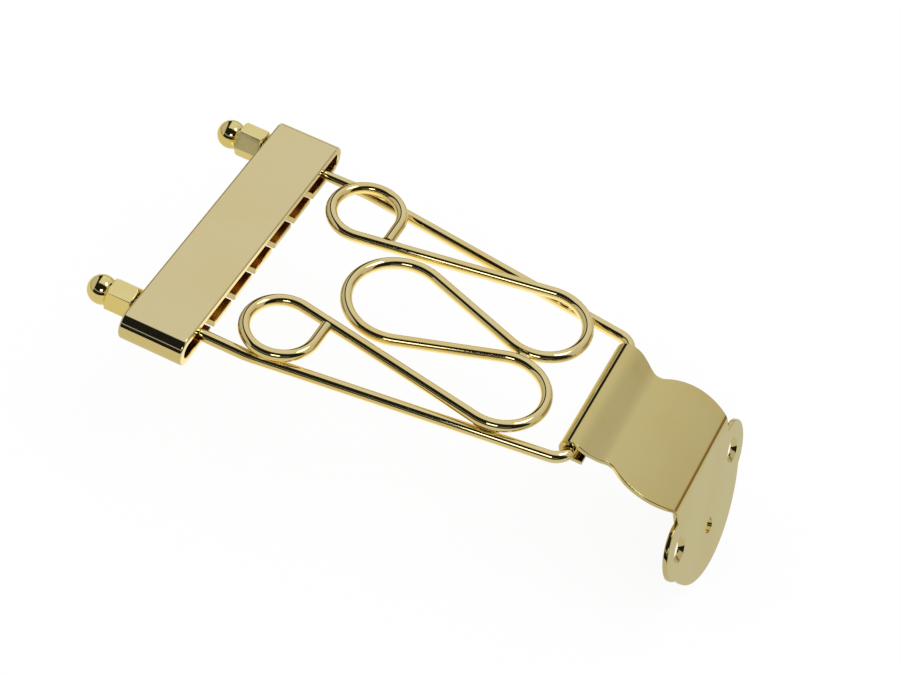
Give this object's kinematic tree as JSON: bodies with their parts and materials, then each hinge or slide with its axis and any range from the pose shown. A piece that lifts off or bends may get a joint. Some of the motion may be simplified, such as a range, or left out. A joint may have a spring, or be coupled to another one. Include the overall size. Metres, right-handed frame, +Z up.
{
  "type": "guitar tailpiece",
  "caption": "Wire trapeze tailpiece: a leaning flange and hinge curl carry a bent-wire frame with a scroll, and a slotted bar held by ball-ended nuts anchors the strings.",
  "frame": {"origin": "on the inner face of the bracket's flange, midway between its two ear holes, where the flange seats on the end of the guitar", "axes": "+X along the wires, from the bracket to the bridge; +Y to the bass side; +Z up, square to the plane of the wires"},
  "size_m": [0.161, 0.0842, 0.0423],
  "materials": {
    "bracket_gold": "polished gold plate",
    "wire_gold": "polished gold plate",
    "bar_gold": "polished gold plate",
    "nut_gold": "polished gold plate"
  },
  "bodies": {
    "bracket": {"mounting_bracket": "bracket_gold"},
    "trapeze": {"frame_wire": "wire_gold", "scroll_wire": "wire_gold"},
    "bar": {"string_bar": "bar_gold"},
    "bass_nut": {"bass_nut": "nut_gold"},
    "treble_nut": {"treble_nut": "nut_gold"}
  },
  "joints": [
    {"name": "trapeze_hinge", "type": "hinge", "parent": "bracket", "child": "trapeze", "pos_m": [0.03073, 0, 0.01766], "axis": [0, -1, 0], "range_deg": [-95, 140]},
    {"name": "bar_travel", "type": "slide", "parent": "trapeze", "child": "bar", "axis": [1, 0, 0], "range_m": [-0.001, 0.0015]},
    {"name": "bass_nut_turn", "type": "hinge", "parent": "bar", "child": "bass_nut", "pos_m": [0.14033, 0.0324, 0.01766], "axis": [1, 0, 0], "range_deg": [-721, 1081]},
    {"name": "treble_nut_turn", "type": "hinge", "parent": "bar", "child": "treble_nut", "pos_m": [0.14033, -0.0324, 0.01766], "axis": [1, 0, 0], "range_deg": [-721, 1081]}
  ],
  "couplings": [
    {"joint": "bass_nut_turn", "follows": "bar_travel", "rad_per_m": 12566},
    {"joint": "treble_nut_turn", "follows": "bar_travel", "rad_per_m": 12566}
  ]
}
